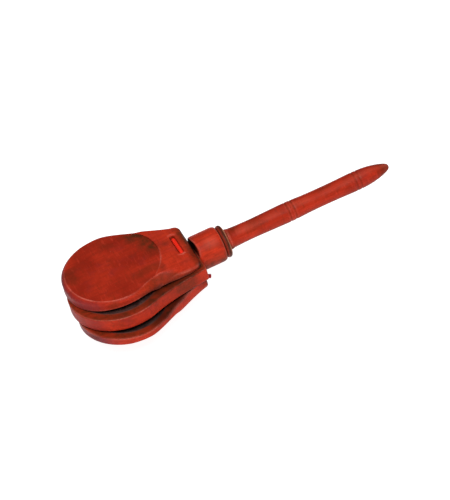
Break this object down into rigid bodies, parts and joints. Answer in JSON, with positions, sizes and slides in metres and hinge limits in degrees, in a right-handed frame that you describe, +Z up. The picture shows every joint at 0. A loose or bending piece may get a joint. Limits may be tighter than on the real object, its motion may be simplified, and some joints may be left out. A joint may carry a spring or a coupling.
{
  "type": "handle castanets",
  "caption": "Hand castanets: hollowed wooden shells laced by a cord to a flat board on a turned handle, rocking open and clapping shut.",
  "frame": {"origin": "centre of the bounding box on the plane that the bottom shell lies on", "axes": "+X along the handle towards its pointed tip, +Z up from the bottom shell to the top shell"},
  "size_m": [0.2106, 0.074, 0.0266],
  "materials": {
    "red_wood": "satin red stain, worn",
    "red_shell_wood": "satin red stain, worn",
    "red_lower_shell_wood": "satin red stain, worn",
    "red_grip_wood": "satin red stain, turned",
    "dark_ring": "dark stain, rubbed at the rim",
    "red_cord": "matt braided cord"
  },
  "bodies": {
    "handle": {"paddle": "red_wood", "grip": "red_grip_wood", "ring": "dark_ring", "cord_near_leg": "red_cord", "cord_far_leg": "red_cord"},
    "top_clapper": {"top_shell": "red_shell_wood", "cord_top_loop": "red_cord"},
    "bottom_clapper": {"bottom_shell": "red_lower_shell_wood", "cord_bottom_loop": "red_cord", "cord_tail": "red_cord"}
  },
  "joints": [
    {"name": "top_shell_rock", "type": "hinge", "parent": "handle", "child": "top_clapper", "pos_m": [-0.0256, 0, 0.01795], "axis": [0, 1, 0], "range_deg": [0, 10]},
    {"name": "bottom_shell_rock", "type": "hinge", "parent": "handle", "child": "bottom_clapper", "pos_m": [-0.025, 0, 0.00865], "axis": [0, -1, 0], "range_deg": [0, 10]}
  ]
}
